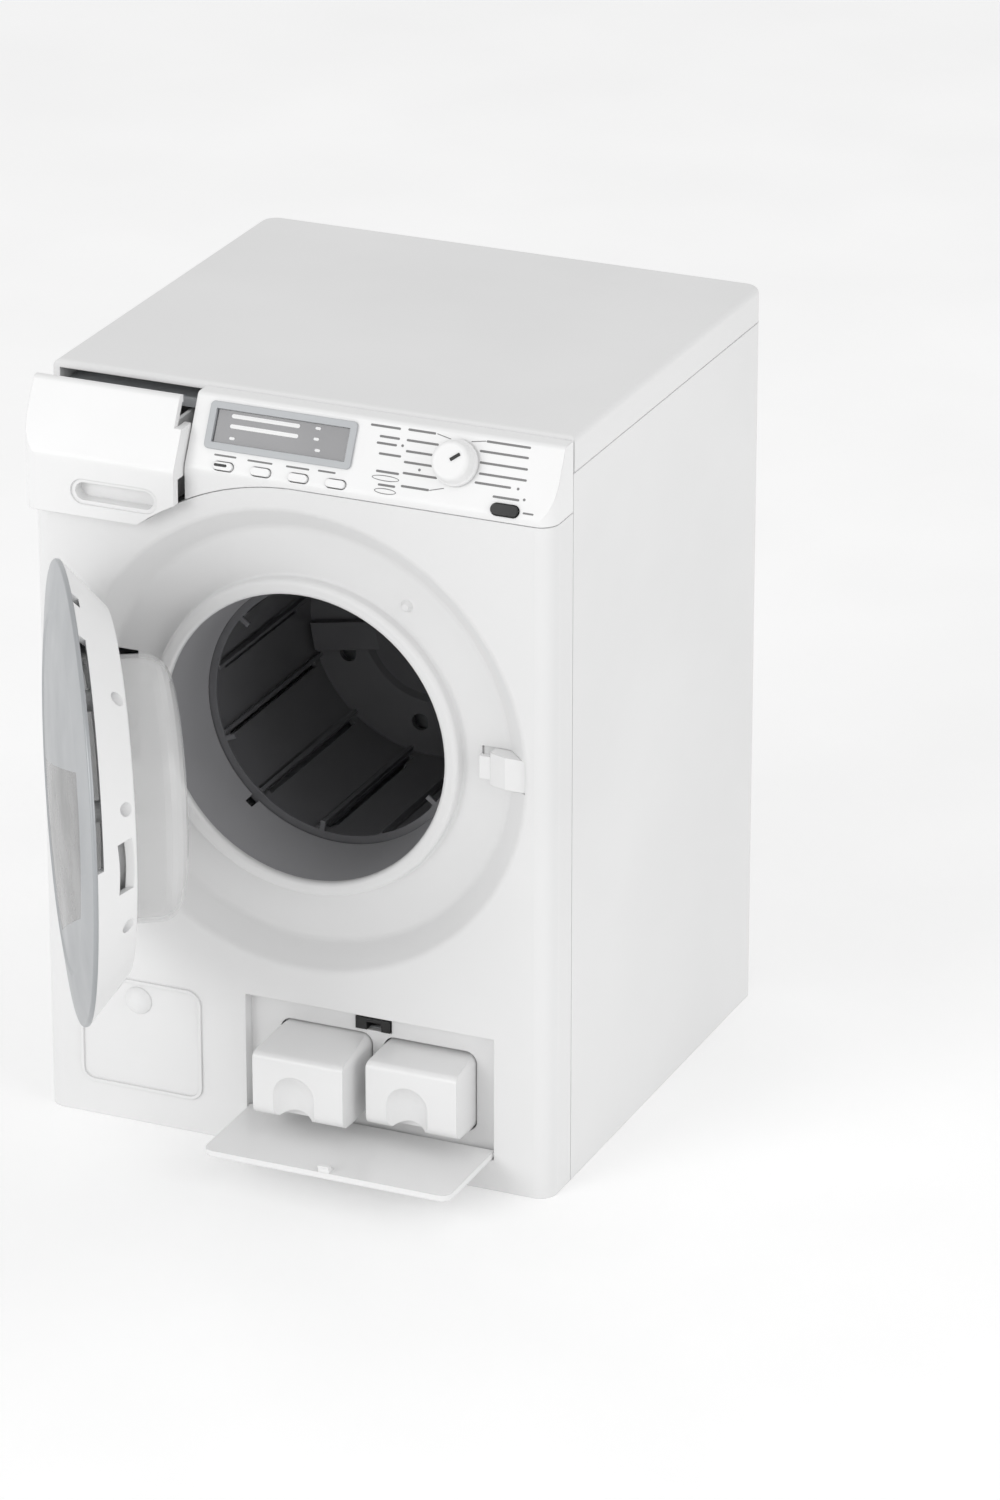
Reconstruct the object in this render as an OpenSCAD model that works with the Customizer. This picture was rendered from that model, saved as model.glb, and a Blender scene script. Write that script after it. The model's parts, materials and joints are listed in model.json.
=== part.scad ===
// Toy front-loading washing machine, in millimetres.
// The front faces -Y, +Z is up, and the origin is the centre of the flat base.

/* [Casing] */
// Width of the casing
body_w = 184; // [183:0.5:186]
// Depth of the casing
body_d = 180; // [178:1:184]
// Height of the casing
body_h = 260; // [259:0.5:262]
// Thickness of the plastic walls
wall = 2.4; // [2.2:0.1:2.6]
// Radius of the upright edges
corner_r = 6; // [5:0.5:7]
// Depth of the front moulding where it wraps round the sides
front_wrap = 17; // [16:1:18]

/* [Door] */
// Distance of the drum axis from the middle of the casing
ring_x = 3; // [2:0.5:4]
// Height of the drum axis
ring_z = 147.5; // [146.5:0.5:148]
// Radius of the dished recess at the front face
dish_r = 80; // [79.5:0.5:80.5]
// Radius of the mouth of the drum
mouth_r = 50; // [49.8:0.1:50.2]
// Radius of the door
door_r = 74.6; // [74:0.2:75]
// Angle that the door stands open at rest
door_open = 57; // [40:1:60]

/* [Drum] */
// Outer radius of the drum barrel
drum_r = 47; // [46.5:0.5:47.5]
// Length of the drum barrel
drum_len = 75; // [72:1:76]
// Number of staves of the drum
staves = 12; // [8:1:14]
// Teeth of the drum gear
gear_teeth = 48; // [48:1:48]
// Teeth of the motor pinion
pinion_teeth = 12; // [12:1:12]

/* [Drawer and flap] */
// Distance that the detergent drawer is pulled out at rest
drawer_out = 7; // [0:1:12]
// Distance that the left battery box is pulled out at rest
left_box_out = 25.5; // [20:0.5:25.5]
// Distance that the right battery box is pulled out at rest
right_box_out = 18; // [14:0.5:18]
// Droop of the open service flap below level
flap_droop = 0; // [0:0.5:2]

/* [Hidden] */
$fn = 96;

front = -body_d / 2;             // front face
side = body_w / 2;               // right side face
seam = front + front_wrap;       // where the front moulding meets the shell
inside = side - wall;            // inner face of the side walls
floor_y = front + 8;             // floor of the dished recess
floor_r = dish_r - 8;
lip_r = mouth_r + 5;             // bead round the mouth
lip_y = floor_y - 5;
sheet = 2.4;                     // thickness of the dish
skirt_z = body_h - 12;           // lower edge of the top cover
control_z = ring_z + 87.5;       // lower edge of the controls
arc_r = control_z - ring_z;      // arc of that edge round the door
drawer_z = 217;                  // lower edge of the drawer
drawer_x = -36.3;                // gap between drawer and fascia
grip_x = -58.5;                  // centre of the finger recess of the drawer
grip_z = 226;

// Slanted face of the controls: its lean, the height where it starts, and the line of the dial on it
slant = 27;
crease_z = control_z + 2.2;
slant_mid = [front, crease_z] + 11.3 * [sin(slant), cos(slant)];
ledge_z = body_h - 0.8;          // top of the control moulding
cover_y = front + 18;            // front edge of the top cover
edge_r = 2;                      // rounding of the top cover
reveal = 0.4;                    // fine groove where two mouldings meet

display_size = [47, 10.9];
display_at = [-4.9, 3.5];
key_at = [-22.8, -9.3];
key_step = 13.2;
key_size = [6.8, 2.6];
power_at = [75.5, -9.3];
power_size = [9.4, 3.6];
dial_at = [56.4, 3.1];
board_h = -10.6;                 // face of the circuit board behind the slanted face

// Door hinge
hinge = [ring_x - 78.5, front + 9];
rim_y = front - 6.5;             // plane of the rim when the door is shut
leaf_h = 37.8;
plate_r = 59;                    // inner edge of the door's cone
dome_r = 57;                     // edge of the dome on the door's outside
plate_y = floor_y - 0.5;
bowl_r = 43;
bowl_end = plate_y + 19;
latch_z = ring_z + 1;
screw_angles = [50, 17.5, -19.5, -56, 130, 230];
screw_r = 62.5;
grips = [[3, 64], [76, 80]];     // start and end angles of the slits under the rim

// Drum, seen from the front face backwards
drum_front = -59;
drum_end = drum_front + drum_len;
tub_in = 52.6;
tub_back = 26;
gear_y = 40;
gear_w = 5;
gear_m = 1;
centre_dist = gear_m * (gear_teeth + pinion_teeth) / 2;

// Service flap and battery boxes
pan = [-17.5, 11, 89.5, 43.5];   // x, z, width, height of the recess
pan_y = front + 4.5;
flap_axis = [front + 1.5, 12.6]; // y, z
flap_len = 37;
flap_t = 2.2;
box_w = 32.6;
box_x = [9.9, 47.3];
box_z = 18;
box_h = 28;
box_y = front + 7;               // face of a box that is pushed in
box_nose = 26;
cell_d = 26.2;
cell_l = 50;
box_len = box_nose + 2 * cell_l + 3;

// A slab drawn in the XZ plane, from y to y + t
module xz(y, t) translate([0, y + t, 0]) rotate([90, 0, 0]) linear_extrude(t) children();

// A slab drawn in the YZ plane, from x to x + t
module yz(x, t) translate([x, 0, 0]) rotate([90, 0, 90]) linear_extrude(t) children();

// A turned shape round the drum axis, drawn as radius and y
module about_drum(angle = 360)
    translate([ring_x, 0, ring_z]) rotate([-90, 0, 0]) rotate_extrude(angle = angle) children();

// Places children at a height and place on the slanted control face
module on_fascia(at = [0, 0], h = 0)
    translate([0, slant_mid[0], slant_mid[1]]) rotate([90 - slant, 0, 0])
        translate([at[0], at[1], h]) children();

// A rectangle with round corners, centred
module rounded(size, r) {
    square([size[0] - 2 * r, size[1]], center = true);
    square([size[0], size[1] - 2 * r], center = true);
    for (x = [-1, 1], y = [-1, 1])
        translate([x * (size[0] / 2 - r), y * (size[1] / 2 - r)]) circle(r, $fn = 48);
}

module stadium(size, h) linear_extrude(h) {
    square([size[0] - size[1], size[1]], center = true);
    for (s = [-1, 1]) translate([s * (size[0] - size[1]) / 2, 0]) circle(size[1] / 2, $fn = 32);
}

module plan(inset = 0) rounded([body_w - 2 * inset, body_d - 2 * inset], corner_r - inset);

// A closed outline whose corners are rounded: each point is [x, y] or [x, y, radius]
function soft(points, steps = 4) = [for (i = [0:len(points) - 1]) let (
        p = [points[i][0], points[i][1]],
        r = len(points[i]) > 2 ? points[i][2] : 0,
        before = points[(i + len(points) - 1) % len(points)],
        after = points[(i + 1) % len(points)],
        u = ([before[0], before[1]] - p) / norm([before[0], before[1]] - p),
        v = ([after[0], after[1]] - p) / norm([after[0], after[1]] - p),
        half = acos(u * v) / 2,
        middle = r == 0 ? p : p + (u + v) / norm(u + v) * r / sin(half),
        from = p + u * r / tan(half) - middle,
        start = atan2(from[1], from[0]),
        bend = (180 - 2 * half) * (u[0] * v[1] - u[1] * v[0] > 0 ? -1 : 1) / steps)
    each r == 0 ? [p] : [for (k = [0:steps]) middle + r * [cos(start + bend * k), sin(start + bend * k)]]];

// A cylinder along Y from y to y + h
module rod(x, y, z, r, h) translate([x, y, z]) rotate([-90, 0, 0]) cylinder(r = r, h = h, $fn = 48);

// Area below the controls, with its arc round the door, made larger by a gap
module below_controls(gap = 0) {
    translate([-side, 0]) square([body_w, drawer_z + gap]);
    translate([ring_x, 0]) square([side - ring_x, control_z + gap]);
    translate([ring_x, ring_z]) circle(arc_r + gap);
}

module casing_front() difference() {
    linear_extrude(control_z) difference() {
        intersection() {
            plan();
            translate([-side, front]) square([body_w, front_wrap]);
        }
        plan(wall);
    }
    xz(front - 1, front_wrap + 2) difference() {
        translate([-side - 1, -1]) square([body_w + 2, control_z + 2]);
        translate([0, -2]) square([side, control_z + 2]);
        below_controls();
    }
}

// Dished door recess with the bead round the mouth
module dish() about_drum() polygon(soft([
    [dish_r + 3, front], [dish_r, front, 3], [floor_r, floor_y, 4], [lip_r, floor_y, 1],
    [lip_r, lip_y, 1.8], [mouth_r, lip_y, 1.4], [mouth_r, lip_y + sheet],
    [lip_r - sheet, lip_y + sheet], [lip_r - sheet, floor_y + sheet],
    [floor_r + 1, floor_y + sheet], [dish_r + 1, front + sheet], [dish_r + 3, front + sheet]
]));

// Shallow recess that the service flap shuts into
module flap_pan() difference() {
    translate([pan[0] - 2, front, pan[1] - 2]) cube([pan[2] + 4, 4.5 + sheet, pan[3] + 4]);
    translate([pan[0], front - 1, pan[1]]) cube([pan[2], 5.5, pan[3]]);
}

module box_openings(grow) for (x = box_x)
    translate([x, 0, box_z + box_h / 2]) xz(front, 12) rounded([box_w + grow, box_h + grow], 4);

// Moulded outline and knob of the drain cover, lower left
module drain_cover() {
    xz(front - 0.7, 0.8) translate([-56.3, 32]) difference() {
        rounded([45, 40], 5);
        rounded([42.6, 37.6], 3.8);
    }
    intersection() {
        translate([-57, front + 3.2, 44.8]) sphere(r = 6);
        rod(-57, front - 4, 44.8, 4.8, 4.2);
    }
}

module front_boss(x) {
    translate([x, seam - 6, 0]) cylinder(r = 4, h = 22);
    translate([x > 0 ? x : -inside - 0.5, seam - 7, wall]) cube([inside + 0.5 - abs(x), 2, 19]);
}

module front_panel() color("whitesmoke") difference() {
    union() {
        difference() {
            casing_front();
            about_drum() translate([0, front - 1]) square([dish_r + 2, sheet + 2]);
            translate([pan[0], front - 1, pan[1]]) cube([pan[2], 5, pan[3]]);
        }
        dish();
        flap_pan();
        drain_cover();
        for (z = [ring_z + 19.9, ring_z - 23.9])
            translate([-inside - 0.4, hinge[1] - 2.9, z]) cube([inside + 0.4 - 72, 8, 4]);
        // nub above the mouth
        translate([ring_x + 35.2, floor_y + 0.4, ring_z + 50.6]) rotate([90, 0, 0])
            cylinder(r1 = 2.3, r2 = 1.2, h = 2, $fn = 48);
        for (x = [-1, 1]) intersection() {
            front_boss(x * 82);
            translate([-inside, front + 1, wall]) cube([2 * inside, front_wrap - 1, 30]);
        }
    }
    // slot of the hinge leaf, pocket of the door catch, mouths of the battery boxes
    translate([-81, front - 1, ring_z - 19.6]) cube([22.7, 16, 39.2]);
    translate([ring_x + 61.5, front - 1, latch_z - 5.7]) cube([18.2, 14, 11.4]);
    box_openings(0.8);
    translate([20.5, front, 47.6]) cube([13, 12, 4.8]);
    // hinge pin, flap pins, base screws
    translate([hinge[0], hinge[1], ring_z - 25]) cylinder(r = 1.6, h = 50, $fn = 32);
    translate([pan[0] - 4, flap_axis[0], flap_axis[1]]) rotate([0, 90, 0])
        cylinder(r = 1.15, h = pan[2] + 8, $fn = 32);
    for (x = [-82, 82]) translate([x, seam - 6, -1]) cylinder(r = 1.2, h = 20, $fn = 32);
}

module cabinet_shell() color("whitesmoke") difference() {
    union() {
        linear_extrude(skirt_z) difference() {
            plan();
            plan(wall);
            translate([-side, front - 1]) square([body_w, front_wrap + 1]);
        }
        // ledge that the back cover sits on, and bosses for screws
        xz(body_d / 2 - 2 * wall, wall) difference() {
            translate([-inside, wall]) square([2 * inside, skirt_z - wall]);
            translate([0, 125]) rounded([144, 210], 6);
        }
        for (x = [-1, 1]) {
            translate([x * 82, body_d / 2 - 14, wall]) cylinder(r = 4, h = 20);
            translate([x * 82 - 4 + (x > 0 ? 4 : 0) - (x < 0 ? 3.8 : 0), body_d / 2 - 15, wall])
                cube([7.8, 2, 19]);
        }
        for (p = cover_screws()) rod(p[0], body_d / 2 - 16, p[1], 3.5, 16 - 2 * wall);
    }
    translate([0, 0, 125]) xz(body_d / 2 - wall, wall + 1) rounded([156.4, 222.4], 8);
    for (x = [-82, 82]) translate([x, body_d / 2 - 14, -1]) cylinder(r = 1.2, h = 20, $fn = 32);
    for (p = cover_screws()) rod(p[0], body_d / 2 - 14, p[1], 1.2, 14);
    for (s = [-1, 1]) translate([s * side - reveal, seam - 0.1, -1]) cube([2 * reveal, reveal + 0.1, body_h]);
}

function cover_screws() = [for (x = [-74.5, 74.5], z = [24, 125, 226]) [x, z]];

module base_plate() color("gainsboro") difference() {
    union() {
        linear_extrude(wall) plan(wall);
        for (y = [-40, 10, 60]) translate([-70, y, wall]) cube([140, 1.6, 5]);
    }
    for (x = [-82, 82], y = [seam - 6, body_d / 2 - 14]) translate([x, y, -1]) {
        cylinder(r = 1.3, h = 5, $fn = 32);
        cylinder(r = 3.2, h = 2.2, $fn = 48);
    }
}

module back_cover() color("whitesmoke") difference() {
    union() {
        translate([0, 0, 125]) xz(body_d / 2 - wall, wall) rounded([156, 222], 8);
        // raised frame round the sound holes
        translate([50, 0, 196]) xz(body_d / 2 - 0.1, 0.1) circle(21);
    }
    for (p = cover_screws()) {
        rod(p[0], body_d / 2 - 4, p[1], 1.3, 5);
        rod(p[0], body_d / 2 - 1.2, p[1], 3.2, 2);
    }
    for (i = [-3:3]) translate([50 - 15 + abs(i) * 2, body_d / 2 - 4, 195 + i * 4.6])
        cube([30 - abs(i) * 4, 6, 1.8]);
    // moulded grooves
    for (z = [40, 60, 80]) translate([-60, body_d / 2 - 0.8, z]) cube([120, 1, 1.6]);
}

// Plan of the top cover, which stops behind the controls
module cover_plan(inset = 0) intersection() {
    plan(inset);
    translate([-side, cover_y + inset]) square([body_w, body_d]);
}

module top_cover() color("whitesmoke") difference() {
    hull() {
        translate([0, 0, skirt_z]) linear_extrude(1) cover_plan(reveal);
        translate([0, 0, skirt_z + reveal]) linear_extrude(1) cover_plan();
        for (a = [0:22.5:90]) translate([0, 0, body_h - 0.1 - edge_r * (1 - sin(a))])
            linear_extrude(0.1) cover_plan(edge_r * (1 - cos(a)));
    }
    translate([0, 0, skirt_z - 1]) linear_extrude(body_h - wall - skirt_z + 1) plan(wall);
}

// Outline of the control moulding in YZ: the outer face, moved in by t
module control_profile(t = 0) polygon(soft([
    [front + t, drawer_z - 1], [front + t, crease_z - t * tan(slant / 2), 6 - t],
    [front + t / cos(slant) + (ledge_z - t - crease_z) * tan(slant), ledge_z - t, t == 0 ? 1.6 : 0],
    [cover_y - reveal, ledge_z - t, t == 0 ? 0.5 : 0], [cover_y - reveal, drawer_z - 1]
]));

module control_fascia() color("white") difference() {
    union() {
        intersection() {
            difference() {
                yz(drawer_x, side - drawer_x) control_profile();
                yz(drawer_x + 2, inside - drawer_x - 2) control_profile(wall);
                // the lower part of the back stays open
                translate([drawer_x + 2, seam - 4, 0]) cube([inside - drawer_x - 2, 10, ledge_z - wall]);
            }
            linear_extrude(body_h) plan();
        }
        // posts that carry the circuit board
        for (x = [-30, 30, 84], t = [-6, 6]) on_fascia([x, t], board_h)
            cylinder(r = 2, h = -board_h - 1.5, $fn = 32);
        on_fascia(dial_at + [-8.5, 0], board_h) cylinder(r = 1.2, h = -board_h - 1.5, $fn = 32);
    }
    xz(front - 1, 40) below_controls(0.25);
    translate([inside - 1, seam, 0]) cube([10, 10, body_h]);
    on_fascia(display_at, -4) linear_extrude(8) square(display_size + [2, 2], center = true);
    for (i = [0:3]) on_fascia(key_at + [i * key_step, 0], -4) stadium(key_size + [0.6, 0.6], 8);
    on_fascia(power_at, -4) stadium(power_size + [0.6, 0.6], 8);
    on_fascia(dial_at, -4) cylinder(r = 3, h = 8);
}

module display_bezel() color("lightgray") on_fascia(display_at) difference() {
    union() {
        linear_extrude(0.8) rounded(display_size + [4.6, 4.6], 1.6);
        translate([0, 0, -2.6]) linear_extrude(3) square(display_size + [1.9, 1.9], center = true);
    }
    translate([0, 0, -4]) linear_extrude(8) square(display_size, center = true);
}

module display_window() color("dimgray") on_fascia(display_at, -1.8)
    linear_extrude(1.5) square(display_size, center = true);

module drawer_housing() color("lightgray") {
    difference() {
        translate([-89, seam, 218]) cube([51.4, 63, 34.6]);
        translate([-87.4, seam - 1, 219.6]) cube([48.2, 62, 31.4]);
    }
    difference() {
        translate([-inside, seam, 216]) cube([53, 1.6, 38]);
        translate([-87.4, seam - 1, 219.6]) cube([48.2, 4, 31.4]);
    }
}

module door_collar() color("gray") difference() {
    about_drum() polygon([
        [mouth_r + 0.2, lip_y + sheet + 0.1], [lip_r - sheet - 0.2, lip_y + sheet + 0.1],
        [lip_r - sheet - 0.2, floor_y + sheet], [60, floor_y + sheet], [60, floor_y + sheet + 2],
        [mouth_r + 1.2, floor_y + sheet + 2], [48.6, drum_front - 1.5], [46.6, drum_front - 1.5]
    ]);
    // notch of the moulding lug
    translate([ring_x, 0, ring_z]) rotate([0, 40, 0]) translate([-1.5, drum_front - 6, -52]) cube([3, 5, 8]);
}

module tub() color("silver") about_drum() polygon([
    [tub_in, floor_y + sheet + 2], [60, floor_y + sheet + 2], [60, floor_y + sheet + 4],
    [tub_in + 2, floor_y + sheet + 4], [tub_in + 2, tub_back - 2], [57, tub_back - 2],
    [57, tub_back], [tub_in, tub_back]
]);

// End wall of the tub with the seat of the bearing
module tub_back() color("silver") about_drum() polygon([
    [5, tub_back - 2], [9, tub_back - 2], [9, tub_back], [57, tub_back], [57, tub_back + 2],
    [9, tub_back + 2], [9, tub_back + 12], [5, tub_back + 12]
]);

module bearing_bush() color("goldenrod") about_drum() polygon([
    [3.05, tub_back - 2], [5, tub_back - 2], [5, tub_back + 12], [3.05, tub_back + 12]
]);

module motor_bracket() color("silver") difference() {
    union() {
        translate([ring_x, 0, 0]) xz(gear_y + 7.2, 2) union() {
            translate([0, 118]) rounded([64, 42], 5);
        }
        for (p = [[-26, 132], [26, 132], [-20, 103], [20, 103]])
            rod(ring_x + p[0], tub_back + 2, p[1], 3, gear_y + 7.2 - tub_back - 2);
    }
    rod(ring_x, gear_y, ring_z - centre_dist, 3, 20);
}

module motor_can() color("silver") difference() {
    union() {
        rod(ring_x, gear_y + 9.2, ring_z - centre_dist, 12, 28);
        rod(ring_x, gear_y + 7.2, ring_z - centre_dist, 3, 3);
    }
    rod(ring_x, gear_y, ring_z - centre_dist, 1.05, 20);
}

module circuit_board() color("darkgreen") {
    on_fascia([27, 0], board_h - 1.6) linear_extrude(1.6) square([122, 18], center = true);
    for (x = [-12, 2]) on_fascia([x, 0], board_h - 4) linear_extrude(2.4) square([9, 7], center = true);
}

module selector_switch() color("dimgray") on_fascia(dial_at) difference() {
    translate([0, 0, board_h]) linear_extrude(7) square([13, 13], center = true);
    translate([0, 0, board_h + 1]) cylinder(r = 2.5, h = 10, $fn = 48);
}

module speaker() color("dimgray") translate([50, 0, 195]) rotate([-90, 0, 0]) rotate_extrude() polygon([
    [0, 70], [9, 70], [9, 76], [19, 80], [20, 80], [20, body_d / 2 - wall], [17.5, body_d / 2 - wall],
    [17.5, 84], [10, 78], [0, 79]
]);

module battery_bay() color("silver") difference() {
    union() {
        translate([box_x[0] - box_w / 2 - 1.8, pan_y + sheet, box_z - 1.8])
            cube([box_x[1] - box_x[0] + box_w + 3.6, box_len + 4, box_h + 3.6]);
        for (x = [-4, 28, 60]) translate([x, -40, wall]) cube([4, 60, box_z - 1.7 - wall]);
    }
    for (x = box_x) translate([x - box_w / 2 - 0.4, pan_y, box_z - 0.4])
        cube([box_w + 0.8, box_len + 4.9, box_h + 0.8]);
    // ribs of the base plate pass under the bay
    for (y = [-40, 10, 60]) translate([-70, y - 0.2, wall - 1]) cube([140, 2, 6.2]);
}

module battery_contacts() color("silver") for (x = box_x)
    translate([x, pan_y + box_len + 4.9, box_z + box_h / 2]) rotate([90, 0, 0]) rotate_extrude($fn = 48)
        polygon([[0, 0], [11, 0], [11, 0.5], [4, 0.5], [3, 1.2], [0, 1.2]]);

module flap_catch() color("black") translate([20.8, pan_y, 47.9]) difference() {
    translate([0, -0.9, 0]) cube([12.4, 7, 4.2]);
    translate([4, -2, -1]) cube([5.2, 5.5, 3.8]);
}

module door_catch() color("white") {
    x = ring_x + 66.2;
    hull() {
        translate([x, floor_y - 4.4, latch_z - 5.6]) cube([13.4, 4.4 + sheet, 11.2]);
        translate([x + 6, floor_y - 6.4, latch_z - 5.6]) cube([7.4, 2, 11.2]);
    }
    translate([x - 4, floor_y - 4.2, latch_z - 4]) cube([4.1, 1.8, 8]);
    // bottom of the pocket beside the block, and the plate behind the recess
    translate([x - 4.6, floor_y + 1, latch_z - 5.6]) cube([4.7, sheet - 1, 11.2]);
    translate([x - 5.8, floor_y + sheet, latch_z - 9]) cube([22.4, 1.6, 18]);
}

module hinge_pin() color("silver") translate([hinge[0], hinge[1], ring_z - 24.9]) {
    cylinder(r = 1.5, h = 49.8, $fn = 48);
    translate([0, 0, 48.8]) cylinder(r = 2.6, h = 1.2, $fn = 48);
}

module screw_along_y(x, y, z, r, depth) {
    rod(x, y - 1, z, r, 1);
    rod(x, y - depth, z, 1.1, depth - 1);
}

module casing_screws() color("silver") {
    for (p = cover_screws()) screw_along_y(p[0], body_d / 2 - 0.2, p[1], 2.9, 11);
    for (x = [-82, 82], y = [seam - 6, body_d / 2 - 14]) translate([x, y, 0.2]) {
        cylinder(r = 2.9, h = 1, $fn = 48);
        cylinder(r = 1.1, h = 15, $fn = 32);
    }
}

// Turns the closed door round its hinge to its open place
module swing() translate(hinge) rotate([0, 0, -door_open]) translate(-hinge) children();

module door_frame() color("white") swing() difference() {
    union() {
        about_drum() polygon(soft([
            [door_r, rim_y], [plate_r, plate_y, 2], [lip_r + 0.6, plate_y, 0.4], [lip_r + 0.6, lip_y - 1.2],
            [bowl_r + 1, lip_y - 1.2], [bowl_r + 1, lip_y - 3.2], [lip_r + 2.6, lip_y - 3.2],
            [lip_r + 2.6, plate_y - 2.2], [plate_r - 0.8, plate_y - 2.2], [door_r - 3, rim_y]
        ]));
        // screw bosses, cut off by the cone
        intersection() {
            for (a = screw_angles)
                rod(ring_x + screw_r * cos(a), rim_y, ring_z + screw_r * sin(a), 3.4, 14);
            about_drum() polygon(soft([[0, rim_y], [door_r, rim_y], [plate_r, plate_y, 2], [0, plate_y]]));
        }
        // hinge leaf with its knuckle
        translate([hinge[0], hinge[1] - 1.9, ring_z - leaf_h / 2]) cube([16.6, 3.5, leaf_h]);
        translate([hinge[0] + 13, plate_y - 2, ring_z - leaf_h / 2]) cube([9, 1.9, leaf_h]);
        translate([hinge[0] + 13, plate_y - 2, ring_z - leaf_h / 2]) cube([3.6, 5, leaf_h]);
        translate([hinge[0], hinge[1], ring_z - leaf_h / 2]) cylinder(r = 3.4, h = leaf_h);
    }
    // finger grips along the rim, latch slot, screw recesses, bore of the hinge
    for (grip = grips) translate([ring_x, 0, ring_z]) rotate([0, -grip[0], 0]) rotate([-90, 0, 0])
        mirror([0, 1, 0]) rotate_extrude(angle = grip[1] - grip[0])
            translate([66, rim_y - 1]) square([12, 3.2]);
    translate([ring_x + 60, plate_y - 8, latch_z - 8.4]) cube([5.8, 9, 16.8]);
    for (a = screw_angles) {
        rod(ring_x + screw_r * cos(a), plate_y - 6.2, ring_z + screw_r * sin(a), 2.2, 8);
        rod(ring_x + screw_r * cos(a), rim_y - 1, ring_z + screw_r * sin(a), 0.9, 12);
    }
    translate([hinge[0], hinge[1], ring_z - leaf_h]) cylinder(r = 1.6, h = 2 * leaf_h, $fn = 48);
}

// Height of the dome of the door at a radius
function dome(r) = rim_y - 5.5 + 2.4 * pow(r / dome_r, 2);

// Section of the outer skin of the door, as radius and y
module door_skin(t) polygon(concat(
    soft([[door_r, rim_y], [door_r + 0.4, rim_y - 1.4, 0.8], [dome_r + 1.4, rim_y - 3.6, 0.5],
        [dome_r, dome(dome_r)]]),
    [for (k = [9:-1:0]) [dome_r * k / 10, dome(dome_r * k / 10)]],
    [for (k = [0:10]) [dome_r * k / 10, dome(dome_r * k / 10) + t]],
    [[door_r - 3.4, rim_y]]
));

// Slanting band across the door that the dark window fills
module window_band() xz(rim_y - 8, 10) translate([ring_x, ring_z]) intersection() {
    circle(54.5);
    polygon([
        [-60, 9.7 - 60 * tan(20)], [60, 9.7 + 60 * tan(20)],
        [60, -47 + 60 * tan(27)], [-60, -47 - 60 * tan(27)]
    ]);
}

module door_panel() color("darkgray") swing() difference() {
    about_drum() door_skin(2);
    window_band();
}

module door_window() color("black") swing() intersection() {
    about_drum() door_skin(1.6);
    window_band();
}

module door_bowl() color("lightcyan") swing() about_drum() polygon(concat(
    [[52, lip_y - 5], [52, lip_y - 3.2], [bowl_r, lip_y - 3.2]],
    [for (a = [0:15:90]) [bowl_r - 8 + 8 * cos(a), bowl_end - 8 + 8 * sin(a)]],
    [[0, bowl_end], [0, bowl_end - 1.6]],
    [for (a = [90:-15:0]) [bowl_r - 8 + 6.4 * cos(a), bowl_end - 8 + 6.4 * sin(a)]],
    [[bowl_r - 1.6, lip_y - 5]]
));

module door_screws() color("silver") swing() for (a = screw_angles) {
    rod(ring_x + screw_r * cos(a), plate_y - 6.2, ring_z + screw_r * sin(a), 2, 1.2);
    rod(ring_x + screw_r * cos(a), rim_y + 1, ring_z + screw_r * sin(a), 0.9, 6.8);
}

module pulled(d) translate([0, -d, 0]) children();

module drawer_front() color("white") pulled(drawer_out) difference() {
    union() {
        intersection() {
            difference() {
                yz(-side, drawer_x - 0.5 + side) control_profile();
                yz(-inside, drawer_x - 0.5 - wall + inside) control_profile(wall);
            }
            linear_extrude(body_h) plan();
        }
        // walls of the finger recess
        translate([grip_x, front + wall - 0.4, grip_z]) rotate([-90, 0, 0]) stadium([33, 10.6], 4.2);
        // floor along the lower edge
        translate([-inside, front + 1, drawer_z + 0.4]) cube([drawer_x - 0.5 + inside, 12.5, 2.2]);
    }
    translate([-side - 1, front - 1, 0]) cube([body_w, 40, drawer_z + 0.4]);
    translate([-side - 1, seam - 3.5, 0]) cube([body_w, 40, body_h]);
    xz(front - 1, 40) translate([ring_x, ring_z]) circle(arc_r + 0.5);
    translate([grip_x, front - 1, grip_z]) rotate([-90, 0, 0]) {
        stadium([31, 8.6], 1.7);
        stadium([28, 6], 6);
    }
    // the right side wall is cut away above and below its guide
    for (z = [drawer_z, 250]) translate([drawer_x - 0.5 - wall - 0.2, front + 3, z])
        cube([wall + 1, 20, 17]);
}

module drawer_tray() color("white") pulled(drawer_out) difference() {
    translate([-86.6, seam - 3.5, 223.4]) cube([44.6, 61, 26.2]);
    for (i = [0:2]) translate([-85.2 + i * 14.4, seam - 2, 224.8]) cube([13, 58.1, 30]);
}

module service_flap() color("white")
    translate([0, flap_axis[0], flap_axis[1]]) rotate([flap_droop, 0, 0]) {
        translate([pan[0] + 0.6, 0, -flap_t / 2]) linear_extrude(flap_t) polygon(soft([
            [0, 0], [0, -flap_len, 3.5], [pan[2] - 1.2, -flap_len, 3.5], [pan[2] - 1.2, 0]
        ]));
        translate([pan[0] + 0.6, 0, 0]) rotate([0, 90, 0])
            cylinder(r = flap_t / 2, h = pan[2] - 1.2, $fn = 32);
        for (x = [pan[0] - 2, pan[0] + pan[2] - 0.7]) translate([x, 0, 0]) rotate([0, 90, 0])
            cylinder(r = 1, h = 2.7, $fn = 32);
        // hook that the catch holds
        translate([25, -36.9, 0]) cube([4, 1.4, 3.6]);
        translate([25, -37.4, 2.8]) cube([4, 1.9, 0.8]);
        // ribs that stiffen the hook
        for (x = [25, 28.2]) yz(x, 0.8) polygon([[-35.6, 0], [-31, 0], [-35.6, 2.6]]);
    }

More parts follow.
